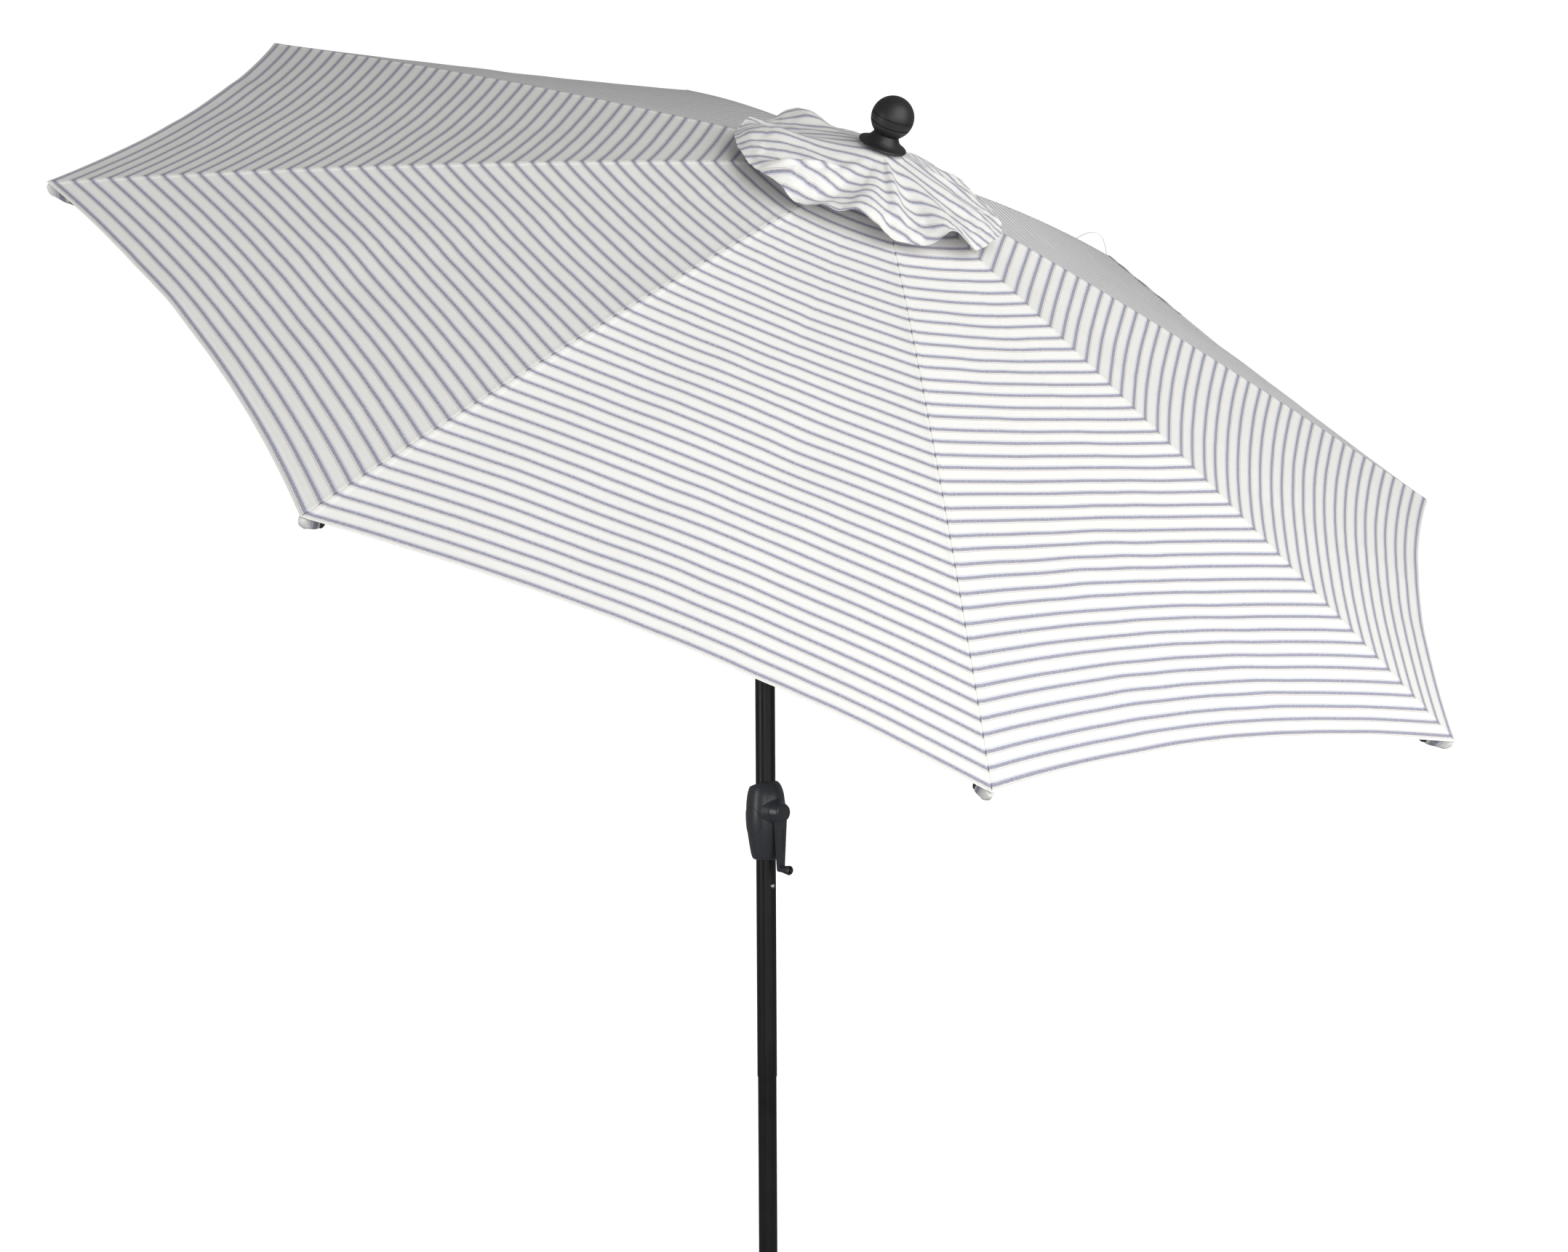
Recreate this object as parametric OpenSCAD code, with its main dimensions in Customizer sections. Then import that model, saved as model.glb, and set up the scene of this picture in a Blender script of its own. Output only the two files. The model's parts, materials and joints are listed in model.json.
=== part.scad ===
// Tilting market umbrella with a crank lift.
// Millimetres, +Z up. The origin is the centre of the lower end of the pole,
// and the canopy leans towards +X about a hinge that lies along Y.

/* [Canopy] */
// Radius from the canopy's axis to the cloth at each rib tip
canopy_r = 1371; // [1340:1:1400]
// Slope of the ribs below the horizontal when the canopy is open
rib_slope = 16.1; // [15:0.1:17]
// How far the middle of each hem is drawn in towards the axis
hem_in = 44; // [30:0.5:60]
// Rise of the bent ribs above their chord when the cloth is taut
rib_bow = 16; // [12:0.5:18]
// Thickness of the cloth solids
cloth_t = 1; // [1:0.1:2]
// Gap between the rib centreline and the outer face of the cloth
cloth_off = 13; // [12.5:0.1:15]
// Radius of the vent opening in the main cloth
vent_r = 150; // [130:1:180]
// Radius of the loose vent cap over the opening
cap_r = 258; // [240:1:280]

/* [Frame linkage] */
// Radius of the rib pivots in the top hub
hub_pivot_r = 36; // [36:0.5:37]
// Height of the rib pivots above the tilt hinge
hub_pivot_z = 603; // [600:1:606]
// Radius of the strut pivots in the runner
run_pivot_r = 38; // [38:0.5:39]
// Distance along the rib from its pivot to the strut bracket
bracket_a = 235; // [230:1:240]
// Drop of the strut rivet below the rib centreline
bracket_drop = 14; // [14:0.1:15]
// Length of a strut between its two pivots
strut_len = 280; // [275:1:285]
// Width of the steel rib tube
rib_w = 8; // [7.8:0.1:8]
// Height of the steel rib tube
rib_h = 16; // [15:0.1:16]
// Wall of the rib and strut tubes
rib_wall = 0.6; // [0.5:0.1:0.8]
// Width of a strut tube
strut_w = 7.4; // [7:0.1:7.6]
// Height of a strut tube
strut_h = 11; // [10:0.1:11]

/* [Pole] */
// Height of the tilt hinge above the lower end of the pole
pivot_h = 1700; // [1650:1:1800]
// Outer radius of the upper and middle tubes
pole_r = 19; // [18.9:0.1:19]
// Outer radius of the lower tube where it shows
foot_r = 18; // [17.9:0.1:18]
// Exposed length of the lower tube
foot_len = 521; // [480:1:560]
// Full length of the lower tube
foot_full = 950; // [940:1:1000]
// Height of the snap button above the lower end
snap_z = 893; // [880:1:900]

/* [Tilt] */
// Lean of the canopy from upright
tilt = 31.9; // [0:0.1:32]

/* [Crank] */
// Height of the crank axis
crank_z = 1037; // [1030:1:1040]
// Throw of the crank arm
crank_throw = 108; // [90:1:110]

/* [Hidden] */

$fn = 48;
black = [0.09, 0.085, 0.085];
plastic = [0.13, 0.13, 0.135];
steel = [0.6, 0.6, 0.62];
cloth = [0.94, 0.93, 0.90];

// rib i stands at this azimuth round the canopy's axis
function az(i) = 22.5 + 45 * (i - 1);
// rib length from its pivot to the steel tube's end
rib_len = (canopy_r - 6 - hub_pivot_r) / cos(rib_slope) - 3.5;
// the rib is bent to an arc: its chord, its radius, and its rise and lean at x along the chord
chord = (canopy_r - hub_pivot_r) / cos(rib_slope);
arc_r = (chord * chord / 4 + rib_bow * rib_bow) / (2 * rib_bow);
function rise(x) = sqrt(arc_r * arc_r - pow(x - chord / 2, 2)) - (arc_r - rib_bow);
function lean(x) = asin((x - chord / 2) / arc_r);
// strut rivet, in the plane of its rib: radius and height above the tilt hinge
riv_r = hub_pivot_r + bracket_a * cos(rib_slope) - bracket_drop * sin(rib_slope);
riv_z = hub_pivot_z - bracket_a * sin(rib_slope) - bracket_drop * cos(rib_slope);
// height of the runner's strut pivots when the canopy is open
run_z = riv_z - sqrt(strut_len * strut_len - pow(riv_r - run_pivot_r, 2));
// slope of the open strut, from the runner up to the rivet
strut_slope = atan2(riv_z - run_z, riv_r - run_pivot_r);

// the canopy's frame: tilted about the hinge
module canopy_frame() translate([0, 0, pivot_h]) rotate([0, tilt, 0]) children();
// a rib's frame: +X runs out along the rib from its pivot, +Z is up from it
module rib_frame(i) canopy_frame() rotate([0, 0, az(i)]) translate([hub_pivot_r, 0, hub_pivot_z]) rotate([0, rib_slope, 0]) children();
// a strut's frame: +X runs from its rivet to the runner
module strut_frame(i) canopy_frame() rotate([0, 0, az(i)]) translate([riv_r, 0, riv_z]) rotate([0, 180 - strut_slope, 0]) children();
module along_x(x0, x1, r1, r2 = -1) translate([x0, 0, 0]) rotate([0, 90, 0]) cylinder(h = x1 - x0, r1 = r1, r2 = r2 < 0 ? r1 : r2);
module along_y(y0, y1, r) translate([0, y1, 0]) rotate([90, 0, 0]) cylinder(h = y1 - y0, r = r);
module tube(r_out, r_in, z0, z1) difference() {
  translate([0, 0, z0]) cylinder(h = z1 - z0, r = r_out);
  translate([0, 0, z0 - 1]) cylinder(h = z1 - z0 + 2, r = r_in);
}
// round wire from one point to another
module wire(a, b, r) {
  d = b - a;
  l = norm(d);
  translate(a) rotate([0, acos(d[2] / l), atan2(d[1], d[0])]) cylinder(h = l, r = r);
}
// helical spring along +Z: wire radius w, coil radius r, height h, n turns
module coil(w, r, h, n) {
  steps = 14 * n;
  sides = 6;
  ring = [for (i = [0:steps]) for (j = [0:sides - 1])
    let (a = 360 * n * i / steps, b = 360 * j / sides)
    [(r + w * cos(b)) * cos(a), (r + w * cos(b)) * sin(a), w + (h - 2 * w) * i / steps + w * sin(b)]];
  side = [for (i = [0:steps - 1]) for (j = [0:sides - 1])
    [i * sides + j, i * sides + (j + 1) % sides, (i + 1) * sides + (j + 1) % sides, (i + 1) * sides + j]];
  polyhedron(points = ring, faces = concat([[for (j = [0:sides - 1]) sides - 1 - j]], [[for (j = [0:sides - 1]) steps * sides + j]], [for (f = side) [f[3], f[2], f[1], f[0]]]));
}

// ---- pole ----
module lower_pole() color(black) difference() {
  union() {
    cylinder(h = foot_len, r = foot_r);
    cylinder(h = foot_full, r = foot_r - 0.5);
  }
  translate([0, 0, -1]) cylinder(h = foot_full + 2, r = foot_r - 1.2);
  translate([0, 0, snap_z]) along_x(0, 25, 4.5);
}
module pole_foot_plug() color(plastic) difference() {
  translate([0, 0, 0.5]) cylinder(h = 26, r = foot_r - 1.25);
  translate([0, 0, 4]) cylinder(h = 30, r = foot_r - 4);
  translate([0, 0, -1]) cylinder(h = 8, r = 3);
}
module middle_pole() color(black) difference() {
  tube(pole_r, foot_r, foot_len + 0.5, pivot_h - 75);
  translate([0, 0, snap_z]) along_x(0, 25, 4.5);
  translate([0, 0, crank_z]) along_x(-25, 25, 5.06);
}
module snap_button() color(steel) translate([0, 0, snap_z]) rotate([0, 90, 0])
  rotate_extrude() polygon([[0, 13.4], [6, 13.4], [6, 15.2], [4.42, 15.2], [4.42, 20.6], [4.2, 21.6], [3.5, 22.5], [2.4, 23.1], [1.1, 23.4], [0, 23.45]]);
module snap_spring() color(steel) translate([0, 4, snap_z]) rotate([90, 0, 0]) linear_extrude(height = 8)
  polygon([[13.2, 5], [13.2, -5], [3, -42], [0, -46], [-4, -46], [-7, -42], [-16.2, -4], [-16.2, 4], [-15.4, 4], [-15.4, -4], [-6.2, -41.8], [-3.6, -45.2], [-0.4, -45.2], [2.2, -41.8], [12.4, -5], [12.4, 5]]);

// ---- tilt knuckle ----
module knuckle_lower() color(plastic) translate([0, 0, pivot_h]) difference() {
  union() {
    translate([0, 0, -115]) cylinder(h = 87, r = 22.5);
    translate([0, 0, -115]) cylinder(h = 8, r1 = 20.5, r2 = 24);
    translate([0, 0, -107]) cylinder(h = 6, r = 24);
    for (s = [-1, 1]) {
      translate([-16, s > 0 ? 10 : -17, -40]) cube([32, 7, 40]);
      along_y(s > 0 ? 10 : -17, s > 0 ? 17 : -10, 16);
    }
    translate([0, 0, -50]) along_x(-25, -8, 10.5);
  }
  translate([0, 0, -116]) cylinder(h = 41, r = pole_r);
  translate([0, 0, -80]) cylinder(h = 60, r = 3.4);
  along_y(-20, 20, 4);
  translate([0, 0, -50]) along_x(-30, -8, 7.08);
}
module knuckle_upper() color(plastic) canopy_frame() difference() {
  union() {
    along_y(-9.5, 9.5, 16.5);
    translate([-13, -9.5, 0]) cube([26, 19, 26]);
    translate([0, 0, 24]) cylinder(h = 26, r = 22.5);
  }
  translate([0, 0, 34]) cylinder(h = 20, r = pole_r);
  translate([0, 0, -2]) cylinder(h = 60, r = 3.5);
  along_y(-20, -4.4, 4.06);
  along_y(4.4, 20, 4.06);
  translate([0, 3.5, 0]) rotate([90, 0, 0]) linear_extrude(height = 7) polygon([[-4.2, 4], [-4.2, -20], [20, -20], [7, 4]]);
}
module tilt_pins() color(steel) translate([0, 0, pivot_h]) for (s = [-1, 1]) {
  along_y(s > 0 ? 4.6 : -17, s > 0 ? 17 : -4.6, 4);
  along_y(s > 0 ? 17 : -19, s > 0 ? 19 : -17, 6.5);
}
module tilt_button() color(plastic) translate([0, 0, pivot_h - 50]) difference() {
  union() {
    along_x(-28, -14, 7);
    along_x(-29.5, -28, 5.5, 7);
  }
  along_x(-20, -13, 5.8);
}
module tilt_button_spring() color(steel) translate([-19.9, 0, pivot_h - 50]) rotate([0, 90, 0]) coil(0.5, 4.6, 11.8, 5);

// ---- crank housing ----
function spline(p, n) = concat([for (i = [0:len(p) - 2]) for (j = [0:n - 1])
  let (a = p[max(i - 1, 0)], b = p[i], c = p[i + 1], d = p[min(i + 2, len(p) - 1)], t = j / n)
  0.5 * (2 * b + (c - a) * t + (2 * a - 5 * b + 4 * c - d) * t * t + (3 * b - a - 3 * c + d) * t * t * t)], [p[len(p) - 1]]);
side_line = spline([[20.4, 943], [24, 943.6], [26.8, 947.2], [29.3, 956], [32.5, 975], [35.4, 995], [37.2, 1012], [37.8, 1028], [37.5, 1046], [36.3, 1060], [34, 1073], [30.2, 1083.5], [25.4, 1090.5], [20.4, 1094]], 3);
// the turned body of the housing, grown by g
module housing_body(g) difference() {
  rotate_extrude($fn = 96) polygon(concat([[15, 943 - g]], [for (p = side_line) [p[0] + g, p[1]]], [[15, 1094 + g]]));
  translate([0, 0, 1088.5 + g]) rotate([0, -20, 0]) translate([-60, -60, 0]) cube([120, 120, 40]);
}
module housing_solid() {
  housing_body(0);
  translate([0, 0, crank_z]) along_x(24, 38.6, 31, 23.4);
}
// oval panel that stands a little proud on each side
module oval_pad(s) intersection() {
  housing_body(0.9);
  translate([0, s * 32, 1018]) rotate([90, 0, 0]) scale([0.86, 1, 1]) cylinder(h = 20, r1 = s > 0 ? 29 : 27.6, r2 = s > 0 ? 27.6 : 29, center = true);
}
// fine groove along the line where the two shells meet
module parting_groove() difference() {
  translate([-80, -0.45, 900]) cube([160, 0.9, 260]);
  housing_body(-0.9);
  translate([0, 0, crank_z]) along_x(20, 37.9, 31, 23);
}
module housing_cavity() {
  difference() {
    rotate_extrude($fn = 64) polygon([[20.6, 950], [26, 956], [32.6, 995], [34.6, 1012], [34.8, 1030], [34, 1050], [31.5, 1062], [27, 1070], [20.6, 1072]]);
    for (p = [[-27, 1052], [-26, 978], [26, 978]]) translate([p[0], 0, p[1]]) along_y(-40, 40, 4.6);
    translate([0, 0, crank_z]) along_x(19, 40, 9);
    translate([0, 0, crank_z]) along_x(-40, -19, 9);
  }
  translate([0, 0, crank_z]) along_x(-24, 60, 5.06);
}
module housing_half(s) difference() {
  union() {
    housing_solid();
    oval_pad(s);
  }
  housing_cavity();
  parting_groove();
  translate([0, 0, 930]) cylinder(h = 180, r = pole_r + 0.04);
  for (p = [[-27, 1052], [-26, 978], [26, 978]]) translate([p[0], 0, p[1]]) {
    along_y(-12, 14, 2);
    along_y(14, 60, 3.8);
  }
  translate([-80, s > 0 ? -80 : 0, 900]) cube([160, 80, 260]);
}
module crank_housing_left() color(plastic) housing_half(-1);
module crank_housing_right() color(plastic) housing_half(1);
module housing_screws() color(steel) for (p = [[-27, 1052], [-26, 978], [26, 978]]) translate([p[0], 0, p[1]]) difference() {
  union() {
    along_y(-11, 14, 2);
    along_y(14, 17, 3.75);
  }
  along_y(15.5, 18, 1.6);
}

// ---- crank ----
module cord_spool() color(plastic) translate([0, 0, crank_z]) difference() {
  union() {
    along_x(-8, 8, 9);
    along_x(-8, -6.6, 15);
    along_x(6.6, 8, 15);
  }
  along_x(-9, 9, 5);
}
module cord_winding() color(cloth) translate([0, 0, crank_z]) difference() {
  along_x(-6.6, 6.6, 13.8);
  along_x(-7, 7, 9);
}
module crank_shaft() color(steel) translate([0, 0, crank_z]) along_x(-23, 50, 5);
module crank_arm() color(plastic) difference() {
  union() {
    translate([0, 0, crank_z]) along_x(39.3, 53.5, 22.2, 17.2);
    hull() {
      translate([0, 0, crank_z - 8]) along_x(40, 52, 12.4, 11, $fn = 32);
      translate([0, 0, crank_z - crank_throw]) along_x(41.5, 51, 6.6, 5.8, $fn = 32);
    }
  }
  translate([0, 0, crank_z]) along_x(38, 50, 5);
  translate([0, 0, crank_z]) along_x(51.5, 55, 15.5);
  translate([0, 0, crank_z - crank_throw]) along_x(40, 53, 3);
  hull() {
    translate([0, 0, crank_z - 34]) along_x(50.7, 54, 2.4, $fn = 24);
    translate([0, 0, crank_z - 74]) along_x(50.5, 54, 1.5, $fn = 24);
  }
}
module crank_cap() color(black) translate([0, 0, crank_z]) {
  along_x(51.5, 53.4, 15.4);
  along_x(53.4, 54.6, 15.4, 12.5);
}
module crank_knob() color(plastic) translate([0, 0, crank_z - crank_throw]) difference() {
  union() {
    along_x(51.6, 72, 6.4, 9.2);
    along_x(72, 73.6, 9.2, 8.2);
  }
  along_x(51, 64, 3.05);
  along_x(61.5, 75, 6.6);
}
module knob_screw() color(steel) translate([0, 0, crank_z - crank_throw]) difference() {
  union() {
    along_x(42.5, 61.8, 3);
    along_x(61.8, 64.2, 5.4);
  }
  along_x(63, 65, 2.2);
}

// ---- lift cord, held by the pole all the way ----
module lift_cord_lower() color(cloth) wire([0, 10.8, crank_z + 12], [0, 0, pivot_h - 2], 1.8);
module lift_cord_upper() color(cloth) canopy_frame() {
  wire([0, 0, 2], [0, 0, hub_pivot_z + 19], 1.8);
  translate([12, 0, hub_pivot_z + 19]) rotate([90, 0, 0]) difference() {
    rotate_extrude() translate([12, 0]) circle(r = 1.8, $fn = 16);
    translate([-20, -40, -5]) cube([40, 40, 10]);
  }
  wire([24, 0, run_top + 60], [24, 0, hub_pivot_z + 19], 1.8);
}
run_top = run_z + 16;
module lift_cord_return() color(cloth) canopy_frame() wire([24, 0, run_top - 6], [24, 0, run_top + 60], 1.8);

// ---- upper pole, hub and finial ----
module upper_pole() color(black) canopy_frame() tube(pole_r, pole_r - 1.1, 34, hub_pivot_z + 1);
module top_hub() color(plastic) canopy_frame() difference() {
  union() {
    translate([0, 0, hub_pivot_z - 19]) cylinder(h = 34, r = 44);
    translate([0, 0, hub_pivot_z - 25]) cylinder(h = 6, r1 = 24, r2 = 30);
    translate([0, 0, hub_pivot_z + 15]) cylinder(h = 40.5, r = 31);
  }
  translate([0, 0, hub_pivot_z - 30]) cylinder(h = 31, r = pole_r);
  translate([-4.5, -4.6, hub_pivot_z]) cube([31.8, 9.2, 35]);
  translate([24, 0, hub_pivot_z - 30]) cylinder(h = 40, r = 3);
  translate([12, 0, hub_pivot_z + 19]) along_y(-26, 26, 2.5);
  translate([0, 0, hub_pivot_z + 36]) cylinder(h = 20, r = 4);
  for (i = [1:8]) rotate([0, 0, az(i)]) {
    translate([27.5, -4.4, hub_pivot_z - 30]) cube([30, 8.8, 60]);
    translate([hub_pivot_r, 0, hub_pivot_z]) along_y(-11, 11, 1.5);
  }
}
module hub_pins() color(steel) canopy_frame() for (i = [1:8]) rotate([0, 0, az(i)]) translate([hub_pivot_r, 0, hub_pivot_z]) along_y(-11, 11, 1.5);
module cord_pulley() color(plastic) canopy_frame() translate([12, 0, hub_pivot_z + 19]) rotate([90, 0, 0]) difference() {
  rotate_extrude() polygon([[2.55, -4.2], [13.6, -4.2], [13.6, -2.8], [10.1, -2], [10.1, 2], [13.6, 2.8], [13.6, 4.2], [2.55, 4.2]]);
}
module pulley_axle() color(steel) canopy_frame() translate([12, 0, hub_pivot_z + 19]) along_y(-26, 26, 2.5);
module finial() color(plastic) canopy_frame() difference() {
  rotate_extrude($fn = 64) polygon(concat(
    [[0, 658.5], [27, 658.5], [27, 660.5], [43.6, 660.5], [44.4, 661.4], [44.4, 662.8], [43.6, 664.2], [41, 665.4], [36.5, 667.2], [32.5, 669.6], [29, 672.6], [26.3, 676], [24.4, 679.5]],
    [for (a = [-54:6:-21]) [38.5 * cos(a), 714.5 + 38.5 * sin(a)]],
    [[36.4, 701.8], [34.9, 702.6], [35, 704.2], [37.2, 704.6]],
    [for (a = [-9:6:0]) [38.5 * cos(a), 714.5 + 38.5 * sin(a)]],
    [[38.4, 716.6], [36.9, 717.2], [36.9, 718.8], [38.2, 719.4]],
    [for (a = [12:6:84]) [38.5 * cos(a), 714.5 + 38.5 * sin(a)]],
    [[0, 753]]));
  translate([0, 0, 640]) cylinder(h = 45, r = 4);
}
module finial_stud() color(steel) canopy_frame() translate([0, 0, hub_pivot_z + 36.2]) cylinder(h = 45, r = 4);

// ---- runner ----
module runner() color(plastic) canopy_frame() difference() {
  union() {
    translate([0, 0, run_z - 28]) cylinder(h = 38, r = 23.5);
    translate([0, 0, run_z - 12]) cylinder(h = 22, r = 46);
  }
  translate([0, 0, run_z - 40]) cylinder(h = 80, r = pole_r + 0.06);
  for (i = [1:8]) rotate([0, 0, az(i)]) {
    translate([31.4, -4.1, run_z - 20]) cube([30, 8.2, 40]);
    translate([run_pivot_r - 2.2, -6.9, run_z - 20]) cube([30, 13.8, 22.2]);
  }
}
module runner_collar() color(plastic) canopy_frame() difference() {
  union() {
    translate([0, 0, run_z + 10]) cylinder(h = 14, r = 27.5);
    translate([0, 0, run_z + 24]) cylinder(h = 4, r1 = 27.5, r2 = 24.5);
  }
  translate([0, 0, run_z]) cylinder(h = 40, r = pole_r + 0.06);
  translate([24, 0, run_z + 9.9]) cylinder(h = 40, r = 1.8);
}

// ---- ribs and struts ----
// a bar bent to the rib's arc, from x0 to x1 along the chord
module bent(x0, x1, w, h) translate([chord / 2, 0, rib_bow - arc_r]) rotate([90, 0, 0])
  rotate_extrude(angle = lean(x1) - lean(x0), start = 90 - lean(x1), $fn = 2400) translate([arc_r, 0]) square([h, w], center = true);
module on_rib(x) translate([x, 0, rise(x)]) rotate([0, lean(x), 0]) children();
module rib(i) rib_frame(i) {
  color(black) difference() {
    union() {
      along_y(-rib_w / 2, rib_w / 2, 7);
      translate([0, -rib_w / 2, -6]) cube([24, rib_w, 12]);
      bent(14, rib_len - 12, rib_w, rib_h);
      for (s = [-1, 1]) {
        translate([bracket_a - 9, s > 0 ? rib_w / 2 : -rib_w / 2 - 1.5, -bracket_drop]) cube([18, 1.5, bracket_drop + rise(bracket_a) + 5]);
        translate([bracket_a, 0, -bracket_drop]) along_y(s > 0 ? rib_w / 2 : -rib_w / 2 - 1.5, s > 0 ? rib_w / 2 + 1.5 : -rib_w / 2, 5.6);
      }
    }
    along_y(-10, 10, 1.55);
    bent(26, rib_len - 2, rib_w - 2 * rib_wall, rib_h - 2 * rib_wall);
    translate([bracket_a, 0, -bracket_drop]) along_y(-10, 10, 1.9);
  }
  color(steel) translate([bracket_a, 0, -bracket_drop]) {
    along_y(-rib_w / 2 - 1.5, rib_w / 2 + 1.5, 1.9);
    along_y(rib_w / 2 + 1.5, rib_w / 2 + 2.7, 3.2);
    along_y(-rib_w / 2 - 2.7, -rib_w / 2 - 1.5, 3.2);
  }
  color(black) on_rib(rib_len - 12) difference() {
    union() {
      translate([-22, -5.5, -9.5]) cube([28, 11, 19]);
      translate([6, 0, 0]) along_y(-5.5, 5.5, 9.5);
      hull() {
        translate([-3, 0, -9]) along_y(-5.5, 5.5, 5);
        translate([-15, 0, -10]) along_y(-5.5, 5.5, 7);
        translate([-21.5, 0, -24]) along_y(-4.6, 4.6, 6.5);
      }
    }
    translate([-28, -rib_w / 2 - 0.05, -rib_h / 2 - 0.05]) cube([28.1, rib_w + 0.1, rib_h + 0.1]);
  }
}
module strut(i) color(black) strut_frame(i) difference() {
  union() {
    along_y(-strut_w / 2, strut_w / 2, strut_h / 2);
    translate([0, -strut_w / 2, -strut_h / 2]) cube([strut_len, strut_w, strut_h]);
    translate([strut_len, 0, 0]) along_y(-strut_w / 2, strut_w / 2, strut_h / 2);
    translate([strut_len, 0, 0]) along_y(-6.4, 6.4, 2);
  }
  along_y(-10, 10, 1.95);
  translate([12, -strut_w / 2 + rib_wall, -strut_h / 2 + rib_wall]) cube([strut_len - 24, strut_w - 2 * rib_wall, strut_h - 2 * rib_wall]);
}

// ---- cloth: one gore stands on each rib, from mid panel to mid panel ----
function cloth_z(r) = hub_pivot_z + (cloth_off + rise((r - hub_pivot_r) / cos(rib_slope))) / cos(rib_slope) - (r - hub_pivot_r) * tan(rib_slope);
// a point of the cloth: radius r, s from -1 to 1 across the gore, and up above the outer face
function cloth_pt(r, s, up = 0) =
  let (q = abs(s), k = q * (2 - q), e = r / canopy_r,
       din = hem_in * pow(e, 3), dz = din * tan(rib_slope) / cos(22.5) - 3.6 * e - 7 * sin(180 * e),
       x = r + q * (r * cos(22.5) * cos(22.5) - r) - k * din * cos(22.5) + q * 0.3 * sin(22.5),
       y = q * r * cos(22.5) * sin(22.5) - k * din * sin(22.5) - q * 0.3 * cos(22.5))
  [x, s < 0 ? -y : y, cloth_z(r) + k * dz + up];
function cap_pt(r, s) =
  let (q = abs(s), e = (r - 34.5) / (cap_r - 34.5))
  [r + q * (r * cos(22.5) * cos(22.5) - r) + q * 0.3 * sin(22.5),
   (s < 0 ? -1 : 1) * q * (r * cos(22.5) * sin(22.5) - 0.3 * cos(22.5)),
   657 - 72 * e - 5 * q * e];
// closed sheet through a grid of outer points, n along and m across
module sheet(top, n, m, t) {
  k = (n + 1) * (m + 1);
  pts = concat(top, [for (p = top) [p[0], p[1], p[2] - t]]);
  function id(i, j) = i * (m + 1) + j;
  polyhedron(points = pts, convexity = 4, faces = concat(
    [for (i = [0:n - 1]) for (j = [0:m - 1]) each [[id(i, j), id(i, j + 1), id(i + 1, j + 1)], [id(i, j), id(i + 1, j + 1), id(i + 1, j)]]],
    [for (i = [0:n - 1]) for (j = [0:m - 1]) each [[k + id(i, j), k + id(i + 1, j + 1), k + id(i, j + 1)], [k + id(i, j), k + id(i + 1, j), k + id(i + 1, j + 1)]]],
    [for (i = [0:n - 1]) each [[id(i, 0), id(i + 1, 0), k + id(i + 1, 0)], [id(i, 0), k + id(i + 1, 0), k + id(i, 0)]]],
    [for (i = [0:n - 1]) each [[id(i + 1, m), id(i, m), k + id(i, m)], [id(i + 1, m), k + id(i, m), k + id(i + 1, m)]]],
    [for (j = [0:m - 1]) each [[id(0, j + 1), id(0, j), k + id(0, j)], [id(0, j + 1), k + id(0, j), k + id(0, j + 1)]]],
    [for (j = [0:m - 1]) each [[id(n, j), id(n, j + 1), k + id(n, j + 1)], [id(n, j), k + id(n, j + 1), k + id(n, j)]]]));
}
module gore(i) color(cloth) canopy_frame() rotate([0, 0, az(i)]) {
  sheet([for (a = [0:9]) for (b = [0:12]) cloth_pt(vent_r + (canopy_r - vent_r) * a / 9, (b - 6) / 6)], 9, 12, cloth_t);
  sheet([for (a = [0:3]) for (b = [0:4]) cap_pt(34.5 + (cap_r - 34.5) * a / 3, (b - 2) / 2)], 3, 4, cloth_t);
}
// tie strap: sewn at one corner, lying along the hem with a loose loop past the corner
module tie_strap() color(cloth) canopy_frame() rotate([0, 0, az(3)])
  sheet([for (a = [0:1]) for (b = [0:14]) let (s = -0.56 + 0.74 * b / 14) cloth_pt(canopy_r - 24 + 18 * a, s, 5 + (s > 0.02 ? 24 * sin(180 * (s - 0.02) / 0.16) : 0))], 1, 14, 1.5);

lower_pole();
pole_foot_plug();
middle_pole();
snap_button();
snap_spring();
knuckle_lower();
knuckle_upper();
tilt_pins();
tilt_button();
tilt_button_spring();
crank_housing_left();
crank_housing_right();
housing_screws();
cord_spool();
cord_winding();
crank_shaft();
crank_arm();
crank_cap();
crank_knob();
knob_screw();
lift_cord_lower();
lift_cord_upper();
lift_cord_return();
upper_pole();
top_hub();
hub_pins();
cord_pulley();
pulley_axle();
finial();
finial_stud();
runner();
runner_collar();
tie_strap();
rib(1);  // rib_1
rib(2);  // rib_2
rib(3);  // rib_3
rib(4);  // rib_4
rib(5);  // rib_5
rib(6);  // rib_6
rib(7);  // rib_7
rib(8);  // rib_8
strut(1);  // strut_1
strut(2);  // strut_2
strut(3);  // strut_3
strut(4);  // strut_4
strut(5);  // strut_5
strut(6);  // strut_6
strut(7);  // strut_7
strut(8);  // strut_8
gore(1);  // canopy_1
gore(2);  // canopy_2
gore(3);  // canopy_3
gore(4);  // canopy_4
gore(5);  // canopy_5
gore(6);  // canopy_6
gore(7);  // canopy_7
gore(8);  // canopy_8
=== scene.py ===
import json
import math

import bpy
import numpy as np
from mathutils import Matrix, Vector


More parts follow.
